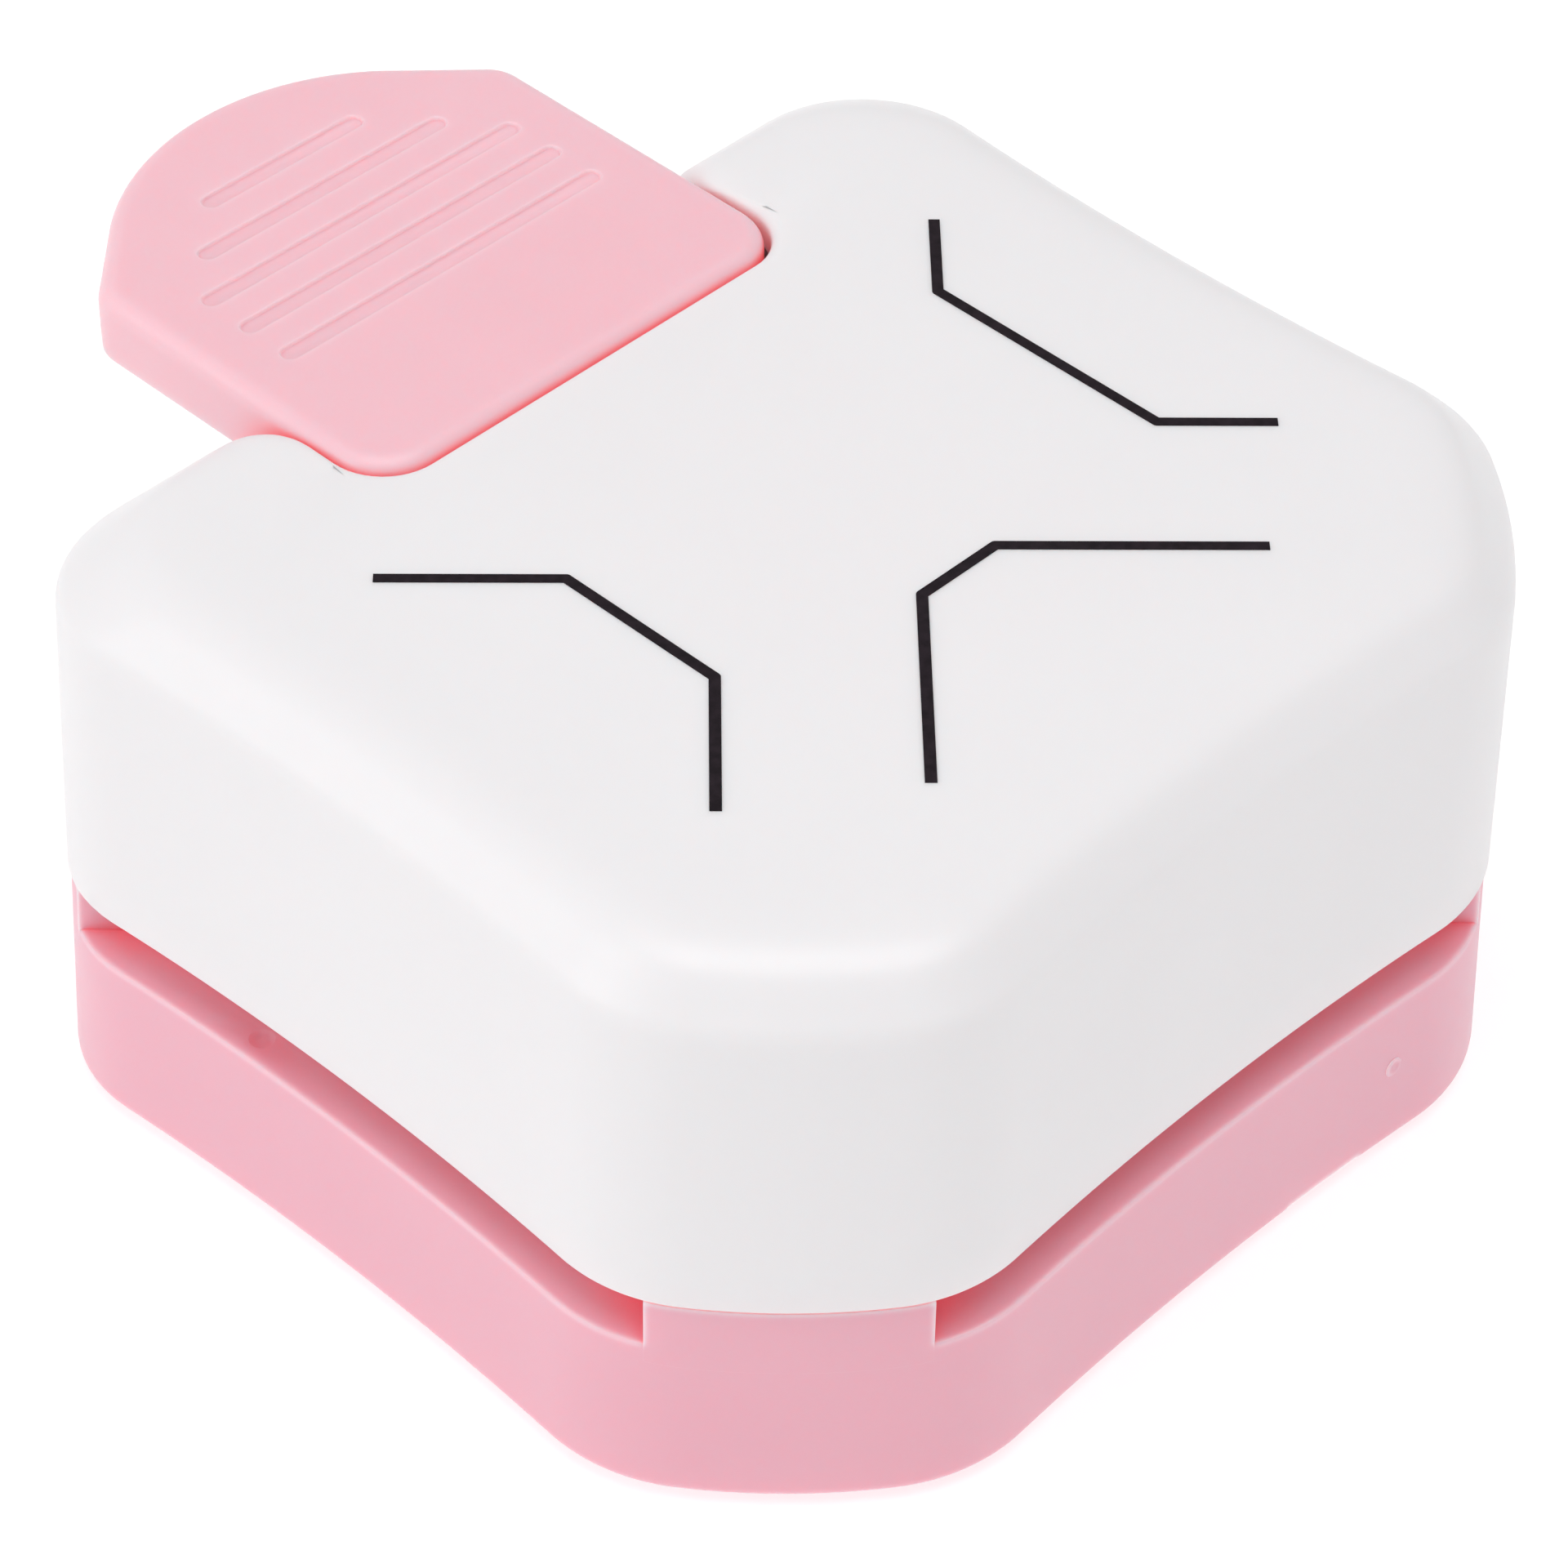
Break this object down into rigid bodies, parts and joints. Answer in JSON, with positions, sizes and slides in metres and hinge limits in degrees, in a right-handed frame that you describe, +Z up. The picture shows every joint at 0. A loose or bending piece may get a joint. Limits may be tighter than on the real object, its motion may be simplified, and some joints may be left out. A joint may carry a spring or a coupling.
{
  "type": "corner rounder",
  "caption": "Square desktop corner punch with hollow sides, paper slots around the base, a rear press lever and cut-shape marks on the cover.",
  "frame": {"origin": "middle of the bounding box at the bottom, on the surface that the rubber feet stand on", "axes": "+Z up, +Y from the front corner side towards the press lever's tip, +X across the body"},
  "size_m": [0.0702, 0.083, 0.0379],
  "materials": {
    "pink_plastic": "satin moulded plastic",
    "lever_plastic": "satin moulded plastic",
    "white_plastic": "smooth moulded plastic",
    "print_ink": "pad printed ink",
    "foot_rubber": "matte moulded rubber",
    "ground_steel": "ground flat",
    "pressed_steel": "zinc plated sheet",
    "hardened_steel": "hardened and ground",
    "cast_alloy": "die cast, satin",
    "zinc_screw": "zinc plated",
    "pin_steel": "polished pin",
    "spring_steel": "drawn spring wire"
  },
  "bodies": {
    "body": {"base_shell": "pink_plastic", "top_cover": "white_plastic", "lever_pin": "pin_steel", "pin_clips": "spring_steel", "pivot_bracket": "pressed_steel", "die_plate": "ground_steel", "die_screws": "zinc_screw", "guide_plate": "pink_plastic", "frame_screws": "zinc_screw", "cover_screws": "zinc_screw", "guide_rod_left": "pin_steel", "guide_rod_right": "pin_steel", "return_spring_left": "spring_steel", "return_spring_right": "spring_steel", "lid_hinge_pin": "pin_steel", "foot_front_left": "foot_rubber", "foot_front_right": "foot_rubber", "foot_rear_left": "foot_rubber", "foot_rear_right": "foot_rubber", "size_mark_small": "print_ink", "size_mark_medium": "print_ink", "size_mark_large": "print_ink"},
    "lever": {"press_lever": "lever_plastic"},
    "punch_unit": {"punch_small": "hardened_steel", "punch_medium": "hardened_steel", "punch_large": "hardened_steel", "punch_carrier": "cast_alloy", "punch_screws": "zinc_screw", "drive_pin": "pin_steel"},
    "lid": {"scrap_lid": "pink_plastic"}
  },
  "joints": [
    {"name": "lever_hinge", "type": "hinge", "parent": "body", "child": "lever", "pos_m": [0, -0.02647, 0.02507], "axis": [-1, 0, 0], "range_deg": [0, 9.9], "stiffness_Nm_per_rad": 1.33, "springref_deg": -4.3},
    {"name": "punch_slide", "type": "slide", "parent": "body", "child": "punch_unit", "axis": [0, 0, -1], "range_m": [0, 0.0036], "deforming": ["return_spring_left", "return_spring_right"]},
    {"name": "lid_hinge", "type": "hinge", "parent": "body", "child": "lid", "pos_m": [0, 0.01413, 0.0024], "axis": [1, 0, 0], "range_deg": [0, 85]}
  ],
  "couplings": [
    {"joint": "punch_slide", "follows": "lever_hinge", "m_per_rad": 0.019975}
  ]
}
